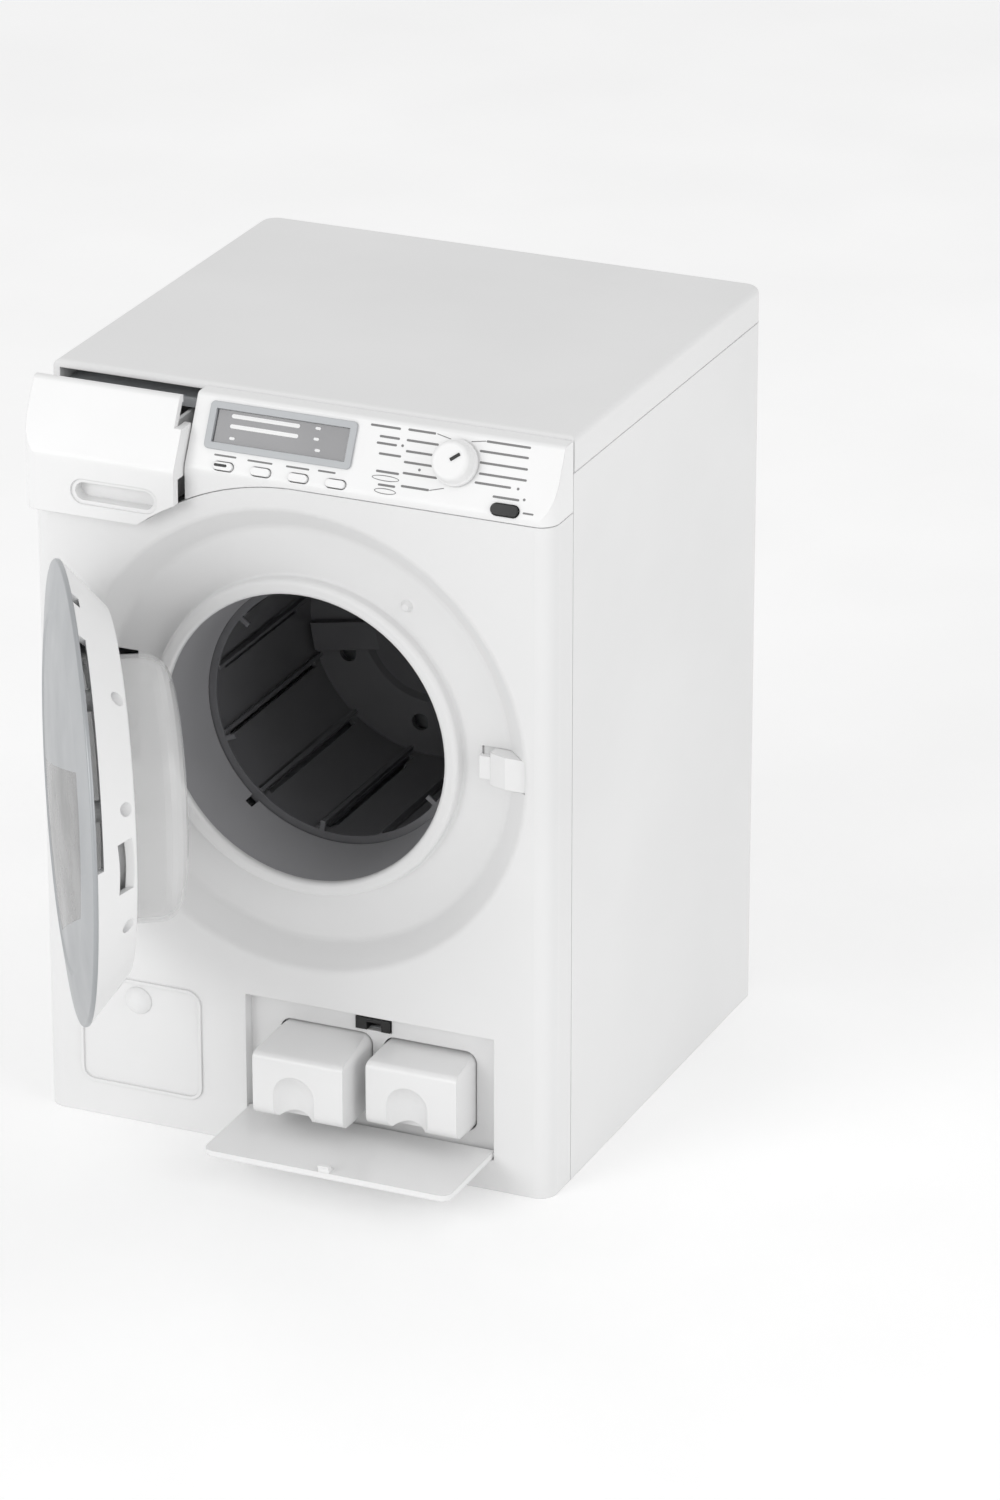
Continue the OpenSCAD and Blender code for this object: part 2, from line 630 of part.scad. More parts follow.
// Side view of the nose: its top falls and its foot rises to the rounded front edges
module nose_profile() polygon(concat(
    [for (a = [0:15:90]) [box_y + 4 - 4 * cos(a), box_z + 6.6 - 4 * sin(a)]],
    [[box_y + box_nose, box_z], [box_y + box_nose, box_z + box_h]],
    [for (a = [90:-15:0]) [box_y + 2.5 - 2.5 * cos(a), box_z + box_h - 4.7 + 2.5 * sin(a)]]
));

// Pull-out battery box: a closed nose with a finger scoop, then an open tray for two cells
module battery_box(x) difference() {
    union() {
        intersection() {
            translate([x, 0, box_z + box_h / 2]) xz(box_y, box_nose) rounded([box_w, box_h], 4);
            yz(x - box_w / 2, box_w) nose_profile();
        }
        translate([x - box_w / 2, box_y + box_nose - 0.1, box_z])
            cube([box_w, box_len - box_nose + 0.1, box_h]);
    }
    // room for the cells, open at the top
    translate([x - box_w / 2 + 1.6, box_y + box_nose + 1.6, box_z + 1.2])
        cube([box_w - 3.2, 2 * cell_l + 1, box_h]);
    // hollow of the nose, arch at its foot, finger scoop
    translate([x - box_w / 2 + 2, box_y + 9, box_z + 4]) cube([box_w - 4, box_nose - 11, box_h - 9]);
    translate([x - 1.5, box_y - 1, box_z - 4.4]) rotate([-90, 0, 0]) cylinder(r = 9.8, h = 8);
    translate([x - 1.5, box_y - 5.2, box_z + 11.4]) sphere(r = 9);
    translate([x - 1.5, box_y - 5.2, box_z - 1]) cylinder(r = 9, h = 12.4);
}

module cells(x) color("gray") for (i = [0, 1])
    translate([x, box_y + box_nose + 2 + i * cell_l, box_z + 1.2 + cell_d / 2]) rotate([-90, 0, 0]) {
        cylinder(d = cell_d, h = cell_l - 1.6, $fn = 64);
        cylinder(d = 7, h = cell_l - 0.1, $fn = 32);
    }

module battery_box_left() color("white") pulled(left_box_out) battery_box(box_x[0]);
module battery_box_right() color("white") pulled(right_box_out) battery_box(box_x[1]);
module cells_left() pulled(left_box_out) cells(box_x[0]);
module cells_right() pulled(right_box_out) cells(box_x[1]);

module round_drum(n) for (i = [0:n - 1])
    translate([ring_x, 0, ring_z]) rotate([0, 360 / n * i + 8, 0]) children();

module drum_front_ring() color("gray") {
    about_drum() polygon([
        [drum_r - 3, drum_front - 1], [drum_r + 1.2, drum_front - 1], [drum_r + 1.2, drum_front + 3],
        [drum_r, drum_front + 3], [drum_r, drum_front], [drum_r - 3, drum_front]
    ]);
    round_drum(staves / 2) translate([-0.9, drum_front - 1, drum_r - 6.4]) cube([1.8, 1, 3.8]);
}

module drum_barrel() color("dimgray") difference() {
    union() {
        about_drum() translate([drum_r - 1.8, drum_front]) square([1.8, drum_len]);
        round_drum(staves) translate([1.2, drum_front, drum_r - 3.4]) cube([1.4, drum_len, 2.4]);
    }
    round_drum(staves) translate([-0.9, drum_front + 5, drum_r - 4]) cube([1.8, drum_len - 9, 8]);
    round_drum(4) translate([-1.9, drum_front + 8, drum_r - 4]) cube([2.8, drum_len - 20, 8]);
}

module drum_back() color("dimgray") difference() {
    union() {
        about_drum() polygon([
            [3, drum_end - 6], [7, drum_end - 6], [22, drum_end - 2.5], [26, drum_end],
            [drum_r, drum_end], [drum_r, drum_end + 2.2], [9, drum_end + 2.2], [9, drum_end + 6],
            [3, drum_end + 6]
        ]);
        for (i = [0:2]) translate([ring_x, 0, ring_z]) rotate([0, 120 * i + 20, 0])
            translate([-5, drum_end - 3, 8]) cube([10, 4, drum_r - 11]);
    }
    round_drum(staves / 2) translate([0, drum_end - 1, 34]) rotate([-90, 0, 0])
        cylinder(r = 3, h = 8, $fn = 32);
}

module drum_shaft() color("silver") rod(ring_x, drum_end - 5, ring_z, 3, gear_y + 5.8 - drum_end + 5);

// Involute gears: where a flank has unwound to at radius r, and one flank as points
function unwound(r, base_r) = let (a = acos(min(1, base_r / r))) tan(a) * 180 / PI - a;
function flank(teeth, hand, middle) = let (
        pitch_r = gear_m * teeth / 2,
        base_r = pitch_r * cos(20),
        low_r = max(base_r, pitch_r - gear_m),
        high_r = pitch_r + 0.75 * gear_m,
        half = (90 - 7) / teeth,
        steps = hand < 0 ? [0:5] : [5:-1:0])
    [for (k = steps) let (
            r = low_r + (high_r - low_r) * k / 5,
            a = middle + hand * (half + unwound(pitch_r, base_r) - unwound(r, base_r)))
        [r * cos(a), r * sin(a)]];
function root(teeth, a) = let (r = gear_m * (teeth / 2 - 1.1)) [r * cos(a), r * sin(a)];
function gear_outline(teeth) = [for (i = [0:teeth - 1]) let (a = 360 / teeth * i) each concat(
    [root(teeth, a - 112 / teeth)], flank(teeth, -1, a), flank(teeth, 1, a), [root(teeth, a + 112 / teeth)])];

// A gear on an axis along Y; first_tooth is the angle of one tooth seen from the front
module spur_gear(z, teeth, width, first_tooth) translate([ring_x, gear_y + (gear_w + width) / 2, z])
    rotate([90, 0, 0]) linear_extrude(width) rotate([0, 0, first_tooth]) polygon(gear_outline(teeth));

module drum_gear() color("ivory") difference() {
    union() {
        spur_gear(ring_z, gear_teeth, gear_w, -90);
        rod(ring_x, gear_y - 1.6, ring_z, 6, gear_w + 1.6);
    }
    rod(ring_x, gear_y - 4, ring_z, 3, 14);
    for (a = [0:60:300]) rod(ring_x + 14 * cos(a), gear_y - 1, ring_z + 14 * sin(a), 4, 8);
}

module motor_shaft() color("silver") rod(ring_x, gear_y - 0.5, ring_z - centre_dist, 1, 18);

module motor_pinion() color("goldenrod") difference() {
    spur_gear(ring_z - centre_dist, pinion_teeth, gear_w - 0.8, 90 + 180 / pinion_teeth);
    rod(ring_x, gear_y - 1, ring_z - centre_dist, 1, 10);
}

module selector_knob() color("white") on_fascia(dial_at) {
    rotate_extrude() polygon(soft([
        [0, 0.5], [7.6, 0.5], [7.6, 2, 0.5], [7, 2.3, 0.3], [6.3, 6.4, 1.2], [0, 6.4]
    ]));
    translate([0, 0, board_h + 1.4]) cylinder(r = 2.4, h = -board_h, $fn = 48);
}

module knob_pointer() color("black") on_fascia(dial_at, 6.4) rotate([0, 0, 38])
    translate([0.4, -0.5, 0]) cube([3.6, 1, 0.35]);

module push_button(at, size, proud) on_fascia(at) {
    translate([0, 0, -2.6]) stadium(size, 2.6 + proud);
    translate([0, 0, -3.6]) stadium(size + [2.2, -0.4], 1);
    translate([0, 0, board_h + 1.2]) cylinder(r = 1, h = -board_h - 4, $fn = 32);
}

module option_key(i) color("white") push_button(key_at + [(i - 1) * key_step, 0], key_size, 0.9);
module option_key_1() option_key(1);
module option_key_2() option_key(2);
module option_key_3() option_key(3);
module option_key_4() option_key(4);
module power_button() color("dimgray") push_button(power_at, power_size, 1);

front_panel();
cabinet_shell();
base_plate();
back_cover();
top_cover();
control_fascia();
display_bezel();
display_window();
drawer_housing();
door_collar();
tub();
tub_back();
bearing_bush();
motor_bracket();
motor_can();
circuit_board();
selector_switch();
speaker();
battery_bay();
battery_contacts();
flap_catch();
door_catch();
hinge_pin();
casing_screws();
door_frame();
door_panel();
door_window();
door_bowl();
door_screws();
drawer_front();
drawer_tray();
service_flap();
battery_box_left();
cells_left();
battery_box_right();
cells_right();
drum_front_ring();
drum_barrel();
drum_back();
drum_shaft();
drum_gear();
motor_shaft();
motor_pinion();
selector_knob();
knob_pointer();
option_key_1();
option_key_2();
option_key_3();
option_key_4();
power_button();
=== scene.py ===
import json
import math

import bmesh
import bpy
from mathutils import Matrix, Vector
from mathutils.bvhtree import BVHTree


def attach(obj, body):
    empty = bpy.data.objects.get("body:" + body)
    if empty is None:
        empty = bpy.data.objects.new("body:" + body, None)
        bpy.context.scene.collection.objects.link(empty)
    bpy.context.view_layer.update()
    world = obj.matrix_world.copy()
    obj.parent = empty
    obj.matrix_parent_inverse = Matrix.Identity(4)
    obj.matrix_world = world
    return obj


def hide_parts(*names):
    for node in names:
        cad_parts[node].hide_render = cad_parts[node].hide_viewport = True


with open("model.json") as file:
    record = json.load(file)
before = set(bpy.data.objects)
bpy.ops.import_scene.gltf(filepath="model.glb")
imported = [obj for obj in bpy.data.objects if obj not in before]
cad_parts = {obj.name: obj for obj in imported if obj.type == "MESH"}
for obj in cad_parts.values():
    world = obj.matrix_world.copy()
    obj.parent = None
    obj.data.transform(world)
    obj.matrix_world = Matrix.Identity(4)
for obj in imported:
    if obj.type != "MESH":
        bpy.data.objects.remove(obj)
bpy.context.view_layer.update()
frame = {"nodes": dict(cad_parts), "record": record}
mm = 0.001  # one millimetre in the scene's metres
print("stage: frame loaded,", len(frame["nodes"]), "nodes")


def toLinear(value):  # one sRGB value, 0 to 1, as light
    return value / 12.92 if value <= 0.04045 else ((value + 0.055) / 1.055) ** 2.4


def colour(red, green, blue):
    return (toLinear(red), toLinear(green), toLinear(blue), 1.0)


def grey(value):
    return colour(value, value, value)


def addNode(tree, kind, place=(0, 0), **values):
    node = tree.nodes.new(kind)
    node.location = place
    for name, value in values.items():
        setattr(node, name, value)
    return node


# Every finish starts here: cloudy tone, fine grain, wiped and unwiped patches,
# and edges with a moulder's radius.
def mouldedPlastic(name, look):
    made = bpy.data.materials.new(name)
    made.use_nodes = True
    tree = made.node_tree
    links = tree.links
    shader = tree.nodes["Principled BSDF"]
    coords = addNode(tree, "ShaderNodeTexCoord", (-1500, 0))
    stretch = addNode(tree, "ShaderNodeMapping", (-1300, -200))
    stretch.inputs["Scale"].default_value = look.get("stretch", (1.0, 1.0, 1.0))
    tone = addNode(tree, "ShaderNodeTexNoise", (-1100, 200))
    tone.inputs["Scale"].default_value = look.get("toneScale", 9.0)
    tone.inputs["Detail"].default_value = 3.0
    ramp = addNode(tree, "ShaderNodeValToRGB", (-800, 200))
    ramp.color_ramp.elements[0].position = 0.3
    ramp.color_ramp.elements[1].position = 0.7
    ramp.color_ramp.elements[0].color = look["dark"]
    ramp.color_ramp.elements[1].color = look["light"]
    grain = addNode(tree, "ShaderNodeTexNoise", (-1100, -200))
    grain.inputs["Scale"].default_value = look.get("grainScale", 900.0)
    grain.inputs["Detail"].default_value = 4.0
    wipe = addNode(tree, "ShaderNodeTexNoise", (-1100, -500))
    wipe.inputs["Scale"].default_value = look.get("wipeScale", 38.0)
    wipe.inputs["Detail"].default_value = 5.0
    spread = addNode(tree, "ShaderNodeMapRange", (-800, -500))
    spread.inputs["From Min"].default_value = 0.35
    spread.inputs["From Max"].default_value = 0.65
    spread.inputs["To Min"].default_value = look["roughness"] - look.get("roughSpread", 0.05)
    spread.inputs["To Max"].default_value = look["roughness"] + look.get("roughSpread", 0.05)
    edge = addNode(tree, "ShaderNodeBevel", (-800, -200), samples=4)
    edge.inputs["Radius"].default_value = look.get("edge", 0.0004)
    bump = addNode(tree, "ShaderNodeBump", (-500, -200))
    bump.inputs["Strength"].default_value = look.get("bump", 0.12)
    bump.inputs["Distance"].default_value = look.get("bumpDepth", 0.00006)
    links.new(coords.outputs["Object"], stretch.inputs["Vector"])
    links.new(stretch.outputs["Vector"], grain.inputs["Vector"])
    links.new(coords.outputs["Object"], tone.inputs["Vector"])
    links.new(coords.outputs["Object"], wipe.inputs["Vector"])
    links.new(tone.outputs["Fac"], ramp.inputs["Fac"])
    links.new(ramp.outputs["Color"], shader.inputs["Base Color"])
    links.new(wipe.outputs["Fac"], spread.inputs["Value"])
    links.new(spread.outputs["Result"], shader.inputs["Roughness"])
    links.new(grain.outputs["Fac"], bump.inputs["Height"])
    links.new(edge.outputs["Normal"], bump.inputs["Normal"])
    links.new(bump.outputs["Normal"], shader.inputs["Normal"])
    shader.inputs["Metallic"].default_value = look.get("metallic", 0.0)
    shader.inputs["IOR"].default_value = look.get("ior", 1.5)
    shader.inputs["Coat Weight"].default_value = look.get("coat", 0.0)
    shader.inputs["Coat Roughness"].default_value = 0.08
    shader.inputs["Alpha"].default_value = look.get("alpha", 1.0)
    # A finish's glow is emission: an even brightening for the paper floor, and a painted glow for the pale
    # display marks.
    shader.inputs["Emission Color"].default_value = look["light"]
    shader.inputs["Emission Strength"].default_value = look.get("glow", 0.0)
    return made


finishes = {
    "whiteShell": {"dark": grey(0.885), "light": grey(0.91), "roughness": 0.42},
    "whiteTrim": {"dark": grey(0.905), "light": grey(0.93), "roughness": 0.34, "coat": 0.15},
    "paleGrey": {"dark": colour(0.70, 0.71, 0.72), "light": colour(0.74, 0.75, 0.76), "roughness": 0.5},
    "midGrey": {"dark": colour(0.54, 0.55, 0.56), "light": colour(0.60, 0.61, 0.62), "roughness": 0.45},
    "collarGrey": {"dark": colour(0.60, 0.60, 0.61), "light": colour(0.66, 0.66, 0.67), "roughness": 0.4},
    "silverPanel": {"dark": colour(0.60, 0.61, 0.62), "light": colour(0.67, 0.68, 0.69), "roughness": 0.34,
                    "metallic": 0.35, "grainScale": 2200.0, "bump": 0.2},
    "drumGrey": {"dark": colour(0.40, 0.40, 0.41), "light": colour(0.48, 0.48, 0.49), "roughness": 0.34,
                 "coat": 0.2},
    "smokedWindow": {"dark": grey(0.20), "light": grey(0.27), "roughness": 0.28, "coat": 0.35},
    "displayGlass": {"dark": colour(0.36, 0.36, 0.37), "light": colour(0.44, 0.44, 0.45), "roughness": 0.16,
                     "coat": 0.8, "bump": 0.04},
    "cloudyBowl": {"dark": grey(0.90), "light": grey(0.96), "roughness": 0.12, "alpha": 0.42,
                   "bump": 0.05, "roughSpread": 0.03, "coat": 0.5},
    "blackPlastic": {"dark": grey(0.05), "light": grey(0.10), "roughness": 0.4},
    "greenBoard": {"dark": colour(0.05, 0.28, 0.14), "light": colour(0.08, 0.36, 0.2), "roughness": 0.35,
                   "coat": 0.5, "grainScale": 260.0, "stretch": (1.0, 0.08, 1.0)},
    "ivoryNylon": {"dark": colour(0.86, 0.82, 0.72), "light": colour(0.91, 0.88, 0.79), "roughness": 0.5},
    "cellJacket": {"dark": colour(0.2, 0.2, 0.22), "light": colour(0.27, 0.27, 0.3), "roughness": 0.3},
    "zincSteel": {"dark": colour(0.62, 0.62, 0.64), "light": colour(0.75, 0.75, 0.77), "roughness": 0.32,
                  "metallic": 1.0, "stretch": (0.15, 1.0, 1.0), "edge": 0.0002},
    "turnedBrass": {"dark": colour(0.7, 0.56, 0.3), "light": colour(0.8, 0.66, 0.38), "roughness": 0.3,
                    "metallic": 1.0, "stretch": (1.0, 0.1, 1.0), "edge": 0.0002},
    "printedInk": {"dark": grey(0.44), "light": grey(0.52), "roughness": 0.55, "edge": 0.00002},
    # The pale display marks are pale print, and their glow is painted light, since the display is no lamp.
    "paleInkPaintedGlow": {"dark": grey(0.84), "light": grey(0.92), "roughness": 0.5, "edge": 0.00002, "glow": 0.12},
    "paper": {"dark": grey(0.955), "light": grey(0.97), "roughness": 0.85, "bump": 0.05, "glow": 0.16},
}
materials = {name: mouldedPlastic(name, look) for name, look in finishes.items()}

slotFinish = {
    "white_shell": "whiteShell", "white_trim": "whiteTrim", "pale_grey": "paleGrey",
    "grey_plastic": "midGrey", "silver_plastic": "silverPanel", "drum_grey": "drumGrey",
    "dark_window": "smokedWindow", "clear_plastic": "cloudyBowl", "black_plastic": "blackPlastic",
    "green_board": "greenBoard", "ivory_nylon": "ivoryNylon", "cell_jacket": "cellJacket",
    "steel": "zincSteel", "brass": "turnedBrass",
}
nodeFinish = {
    "door_collar": "collarGrey",
    "drum_front_ring": "drumGrey",
    "display_window": "displayGlass",
}
nodeSlot = {row["node"]: row["material_slot"] for row in frame["record"]["subparts"]}
for name, piece in frame["nodes"].items():
    piece.data.materials.clear()
    piece.data.materials.append(materials[nodeFinish.get(name, slotFinish[nodeSlot[name]])])
print("stage: finishes on the frame's nodes")


def newPiece(name, work, finish, body):
    shape = bpy.data.meshes.new(name)
    bmesh.ops.recalc_face_normals(work, faces=work.faces)
    work.to_mesh(shape)
    work.free()
    shape.materials.append(materials[finish])
    piece = bpy.data.objects.new(name, shape)
    bpy.context.scene.collection.objects.link(piece)
    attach(piece, body)
    return piece


# The slanted panel: across runs along X, along runs up the slope, out is square to its face.
# All in millimetres.
panel = {
    "slant": 27.0,                       # degrees back from upright
    "middle": (0.0, -84.870, 247.268),   # a point of the flat face
    "carriers": ("control_fascia", "display_window", "display_bezel", "option_key_1"),
    "probe": 20.0,                       # where the feeler for a carrier's face starts, out from the panel
}
slant = math.radians(panel["slant"])
panelOut = Vector((0.0, -math.cos(slant), math.sin(slant)))
panelAlong = Vector((0.0, math.sin(slant), math.cos(slant)))
panelAcross = Vector((1.0, 0.0, 0.0))


def panelPoint(across, along, out=0.0):
    return (Vector(panel["middle"]) + panelAcross * across + panelAlong * along + panelOut * out) * mm


def nodeTree(name):
    shape = frame["nodes"][name].data
    corners = [vertex.co for vertex in shape.vertices]
    return BVHTree.FromPolygons(corners, [face.vertices for face in shape.polygons])


carrierTrees = [nodeTree(name) for name in panel["carriers"]]


def faceHeight(across, along):  # how far the outermost carrier stands out there, in mm
    start = panelPoint(across, along, panel["probe"])
    heights = []
    for tree in carrierTrees:
        place = tree.ray_cast(start, -panelOut)[0]
        if place is not None:
            heights.append(panel["probe"] - (place - start).length / mm)
    return max(heights, default=0.0)


inkDepth = 0.08  # how thick a printed mark is, half of it proud, in mm
endSteps = 8     # facets of a bar's round end
ovalSteps = 36   # facets of a ring


def addMark(work, start, end, thick):  # a round-ended bar from one (across, along) to another
    run = Vector((end[0] - start[0], end[1] - start[1]))
    turn = math.atan2(run.y, run.x) if run.length > 0 else 0.0
    middle = ((start[0] + end[0]) / 2, (start[1] + end[1]) / 2)
    base = faceHeight(*middle)
    outline = []
    for tip, first in ((end, -90), (start, 90)):
        for step in range(endSteps + 1):
            angle = math.radians(first + step * 180 / endSteps) + turn
            across = tip[0] + math.cos(angle) * thick / 2
            along = tip[1] + math.sin(angle) * thick / 2
            outline.append((across, along))
    low = [work.verts.new(panelPoint(x, t, base - inkDepth / 2)) for x, t in outline]
    high = [work.verts.new(panelPoint(x, t, base + inkDepth / 2)) for x, t in outline]
    work.faces.new(high)
    work.faces.new(list(reversed(low)))
    for spot in range(len(outline)):
        after = (spot + 1) % len(outline)
        work.faces.new((low[spot], low[after], high[after], high[spot]))


def addOval(work, start, end, across, thick):  # a printed ring, longer than it is high
    middle = ((start[0] + end[0]) / 2, (start[1] + end[1]) / 2)
    half = (end[0] - start[0]) / 2
    base = faceHeight(*middle)
    rings = []
    for grow in (0.0, thick):
        for out in (-inkDepth / 2, inkDepth / 2):
            ring = []
            for step in range(ovalSteps):
                angle = math.radians(step * 360 / ovalSteps)
                x = middle[0] + math.cos(angle) * (half - grow)
                t = middle[1] + math.sin(angle) * (across / 2 - grow)
                ring.append(work.verts.new(panelPoint(x, t, base + out)))
            rings.append(ring)
    lowOut, highOut, lowIn, highIn = rings
    for a, b in ((lowOut, highOut), (highOut, highIn), (highIn, lowIn), (lowIn, lowOut)):
        for step in range(ovalSteps):
            after = (step + 1) % ovalSteps
            work.faces.new((a[step], a[after], b[after], b[step]))


# Plain bars, dots and rings stand for a scale. Each bar is (first across, last across, along).
panelPrint = {
    "bar": 0.75,
    "line": 0.28,
    "dot": 0.9,
    "dotHalf": 0.01,
    "label": 0.6,
    "column": [(25.4, 35.1, 11.2), (29.1, 35.4, 8.0), (28.5, 34.8, 5.8),
               (29.9, 36.9, 2.5), (30.0, 37.3, -3.1), (31.5, 36.8, -7.3)],
    "fanLeft": [(38.4, 47.3, 11.4), (38.5, 48.9, 8.0), (38.9, 48.3, 4.5),
                (38.9, 49.6, 1.0), (39.2, 50.4, -2.5), (39.4, 48.4, -6.7)],
    "fanRight": [(65.5, 80.0, 11.4), (63.8, 79.9, 8.1), (64.5, 80.3, 4.5),
                 (64.9, 80.6, 1.0), (64.0, 75.8, -2.0), (70.9, 79.3, -5.5)],
    "leaders": [((48.2, 11.4), (53.0, 10.4)), ((49.0, -6.7), (53.6, -5.4)), ((60.2, 10.6), (64.8, 11.4))],
    "dots": [(37.1, 6.0), (44.3, -0.8), (78.6, -2.0), (81.3, -5.1)],
    "rings": [(28.6, 38.1, -5.1), (30.2, 37.8, -9.2)],
    "ringAcross": 1.9,
    "keyLabels": [(-26.4, -19.2, -5.9), (-14.6, -6.4, -6.1), (-1.0, 6.6, -6.1), (10.2, 15.8, -5.9)],
    "powerMark": (81.9, 85.0, -9.3),
}
work = bmesh.new()
for group in ("column", "fanLeft", "fanRight"):
    for first, last, along in panelPrint[group]:
        addMark(work, (first, along), (last, along), panelPrint["bar"])
for start, end in panelPrint["leaders"]:
    addMark(work, start, end, panelPrint["line"])
for across, along in panelPrint["dots"]:
    half = panelPrint["dotHalf"]
    addMark(work, (across - half, along), (across + half, along), panelPrint["dot"])
for first, last, along in panelPrint["rings"]:
    addOval(work, (first, along), (last, along), panelPrint["ringAcross"], panelPrint["line"])
for first, last, along in panelPrint["keyLabels"] + [panelPrint["powerMark"]]:
    addMark(work, (first, along), (last, along), panelPrint["label"])
newPiece("panel_marks", work, "printedInk", "casing")

displayPrint = {
    "rows": [(-22.6, 0.2, 7.2), (-22.6, 0.2, 3.9)],
    "row": 1.3,
    "spots": [(7.2, 7.4), (7.2, 3.9), (8.3, 0.4), (-21.8, 0.0)],
    "spot": 0.9,
    "spotHalf": 0.5,
}
work = bmesh.new()
for first, last, along in displayPrint["rows"]:
    addMark(work, (first, along), (last, along), displayPrint["row"])
for across, along in displayPrint["spots"]:
    half = displayPrint["spotHalf"]
    addMark(work, (across - half, along), (across + half, along), displayPrint["spot"])
# The display marks are pale print with a painted glow on top.
newPiece("display_marks", work, "paleInkPaintedGlow", "casing")

keyPrint = {"first": -25.4, "last": -21.8, "along": -9.1, "thick": 0.9}
work = bmesh.new()
keyEnds = [(keyPrint[end], keyPrint["along"]) for end in ("first", "last")]
addMark(work, keyEnds[0], keyEnds[1], keyPrint["thick"])
newPiece("key_mark", work, "blackPlastic", "key_1")
print("stage: printed marks")


# One screw as turned and punched: a lathe profile from the tip to the crown, then a cross recess.
def screwShape(name, screw):
    head, shank, deep, length = screw["head"], screw["shank"], screw["headDeep"], screw["length"]
    crown = [(0.0, 0.0), (head * 0.55, -deep * 0.02), (head * 0.86, -deep * 0.16), (head, -deep * 0.5)]
    stem = [(head, -deep), (shank, -deep), (shank, -length + shank * 1.6), (shank * 0.3, -length)]
    profile = crown + stem + [(0.0, -length)]
    work = bmesh.new()
    path = [work.verts.new((radius * mm, 0.0, height * mm)) for radius, height in profile]
    steps = [work.edges.new(pair) for pair in zip(path, path[1:])]
    bmesh.ops.spin(work, geom=path + steps, cent=(0, 0, 0), axis=(0, 0, 1), angle=math.tau,
                   steps=screw["facets"], use_duplicate=False)
    bmesh.ops.remove_doubles(work, verts=work.verts, dist=1e-7)
    bmesh.ops.recalc_face_normals(work, faces=work.faces)
    blank = bpy.data.meshes.new(name)
    work.to_mesh(blank)
    work.free()
    punch = bmesh.new()
    for quarter in (0, 1):
        arm = bmesh.ops.create_cube(punch, size=1.0)["verts"]
        size = Matrix.Diagonal((screw["cross"] * mm, screw["slit"] * mm, screw["sink"] * 2 * mm, 1.0))
        for vertex in arm:
            vertex.co = Matrix.Rotation(quarter * math.pi / 2, 4, "Z") @ size @ vertex.co
            taper = screw["punchTip"] if vertex.co.z < 0 else 1.0
            vertex.co.x, vertex.co.y = vertex.co.x * taper, vertex.co.y * taper
    punchMesh = bpy.data.meshes.new(name + "Punch")
    punch.to_mesh(punchMesh)
    punch.free()
    body = bpy.data.objects.new(name, blank)
    tool = bpy.data.objects.new(name + "Punch", punchMesh)
    for part in (body, tool):
        bpy.context.scene.collection.objects.link(part)
    cut = body.modifiers.new("cross", "BOOLEAN")
    cut.operation = "DIFFERENCE"
    cut.solver = "EXACT"
    cut.object = tool
    cut.use_self = True  # the two arms of the punch cross each other
    ready = body.evaluated_get(bpy.context.evaluated_depsgraph_get())
    shape = bpy.data.meshes.new_from_object(ready)
    bpy.data.objects.remove(body)
    bpy.data.objects.remove(tool)
    return shape


def addScrews(name, screw, places, body, node):  # places are (point in mm, direction the crown faces)
    shape = screwShape(name + "Blank", screw)
    work = bmesh.new()
    for order, (point, facing) in enumerate(places):
        before = len(work.verts)
        work.from_mesh(shape)
        work.verts.ensure_lookup_table()
        stand = Vector(facing).to_track_quat("Z", "Y").to_matrix().to_4x4()
        spin = Matrix.Rotation(math.radians(17 + order * 37), 4, "Z")  # no two crosses stand alike
        move = Matrix.Translation(Vector(point) * mm) @ stand @ spin
        bmesh.ops.transform(work, matrix=move, verts=work.verts[before:])
    piece = newPiece(name, work, "zincSteel", body)
    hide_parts(node)


casingScrew = {
    "head": 2.9, "shank": 1.1, "headDeep": 1.0, "length": 11.0, "facets": 32,
    "cross": 3.4, "slit": 0.75, "sink": 0.7, "punchTip": 0.6,
    "coverAcross": 74.5, "coverHeights": (24, 125, 226), "coverFace": 89.8,
    "footAcross": 82, "footDepths": (-79, 76), "footFace": 0.2,
}
places = [((side * casingScrew["coverAcross"], casingScrew["coverFace"], height), (0, 1, 0))
          for side in (-1, 1) for height in casingScrew["coverHeights"]]
places += [((side * casingScrew["footAcross"], depth, casingScrew["footFace"]), (0, 0, -1))
           for side in (-1, 1) for depth in casingScrew["footDepths"]]
addScrews("casing_screw_set", casingScrew, places, "casing", "casing_screws")

# The places are those of the shut door, which then swings open about its pin.
doorScrew = {
    "head": 2.0, "shank": 0.9, "headDeep": 1.2, "length": 8.0, "facets": 32,
    "cross": 2.4, "slit": 0.6, "sink": 0.8, "punchTip": 0.6,
    "angles": (50, 17.5, -19.5, -56, 130, 230), "ring": 62.5, "centre": (3.0, 147.5), "face": -87.5,
    "hinge": (-75.5, -81.0), "opened": -57.0,
}
swing = Matrix.Rotation(math.radians(doorScrew["opened"]), 3, "Z")
hinge = Vector((doorScrew["hinge"][0], doorScrew["hinge"][1], 0.0))
places = []
for angle in doorScrew["angles"]:
    across = doorScrew["centre"][0] + doorScrew["ring"] * math.cos(math.radians(angle))
    height = doorScrew["centre"][1] + doorScrew["ring"] * math.sin(math.radians(angle))
    point = swing @ (Vector((across, doorScrew["face"], height)) - hinge) + hinge
    places.append((point, swing @ Vector((0, 1, 0))))
addScrews("door_screw_set", doorScrew, places, "door", "door_screws")
print("stage: screws")

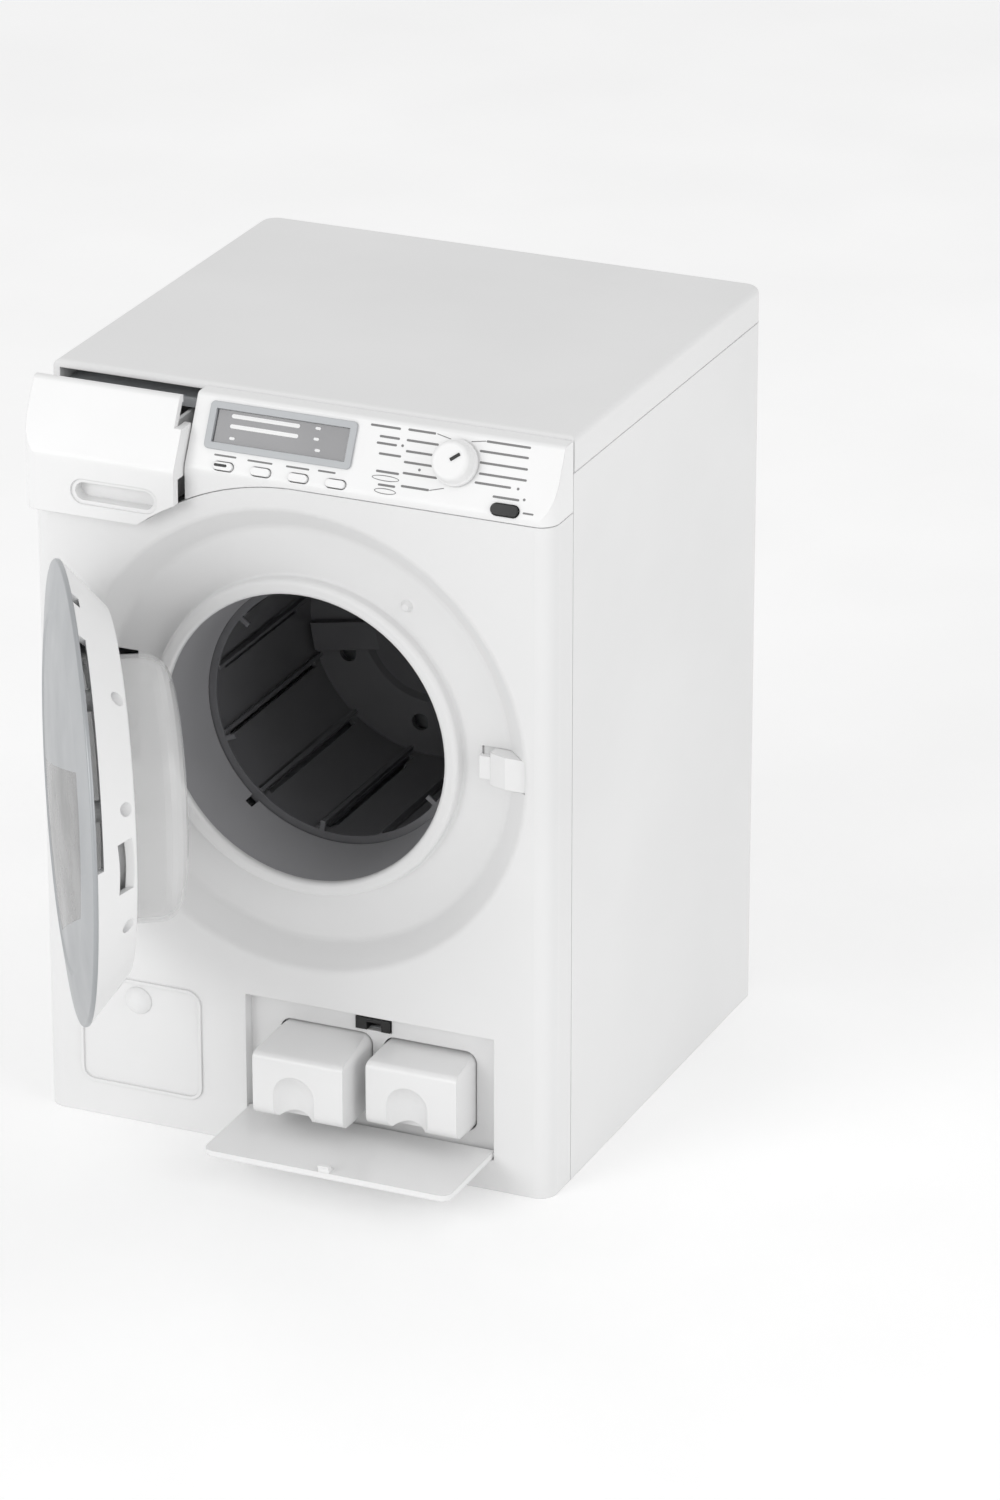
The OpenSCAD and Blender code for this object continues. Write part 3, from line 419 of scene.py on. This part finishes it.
camera = {
    "azimuth": 23.65, "elevation": 22.85, "distance": 2.29534, "target": (0.0348, 0.0, 0.11591),
    "lens": 164.546, "sensor": 36.0,
}
eye = bpy.data.objects.new("camera", bpy.data.cameras.new("camera"))
bpy.context.scene.collection.objects.link(eye)
turn, rise = math.radians(camera["azimuth"]), math.radians(camera["elevation"])
back = Vector((math.sin(turn) * math.cos(rise), -math.cos(turn) * math.cos(rise), math.sin(rise)))
eye.location = Vector(camera["target"]) + back * camera["distance"]
eye.rotation_mode = "QUATERNION"
eye.rotation_quaternion = (-back).to_track_quat("-Z", "Y")
eye.data.lens, eye.data.sensor_width = camera["lens"], camera["sensor"]
eye.data.clip_start, eye.data.clip_end = 0.1, 20.0
bpy.context.scene.camera = eye

studio = {
    "world": 0.75,
    "keyLight": {"place": (-0.7, -1.6, 0.75), "aim": (0, 0, 0.12), "size": 0.9, "power": 8.0},
    "fillLight": {"place": (1.5, -0.5, 0.7), "aim": (0, 0, 0.1), "size": 1.0, "power": 4.0},
    "topLight": {"place": (0.2, 0.4, 1.6), "aim": (0, 0, 0.1), "size": 1.2, "power": 1.0},
    "floorHalf": 3.0,
}
world = bpy.data.worlds.new("studio")
bpy.context.scene.world = world
world.use_nodes = True
world.node_tree.nodes["Background"].inputs["Color"].default_value = (1.0, 1.0, 1.0, 1.0)
world.node_tree.nodes["Background"].inputs["Strength"].default_value = studio["world"]
for name in ("keyLight", "fillLight", "topLight"):
    light = studio[name]
    lamp = bpy.data.objects.new(name, bpy.data.lights.new(name, "AREA"))
    lamp.data.size, lamp.data.energy = light["size"], light["power"]
    lamp.location = light["place"]
    lamp.rotation_mode = "QUATERNION"
    lamp.rotation_quaternion = (Vector(light["aim"]) - Vector(light["place"])).to_track_quat("-Z", "Y")
    bpy.context.scene.collection.objects.link(lamp)

paperMesh = bpy.data.meshes.new("floor")
paperGrid = bmesh.new()
bmesh.ops.create_grid(paperGrid, x_segments=8, y_segments=8, size=studio["floorHalf"])
paperGrid.to_mesh(paperMesh)
paperGrid.free()
floor = bpy.data.objects.new("floor", paperMesh)
bpy.context.scene.collection.objects.link(floor)
paperMesh.materials.append(materials["paper"])
bpy.context.scene.view_settings.view_transform = "Standard"
print("stage: studio")
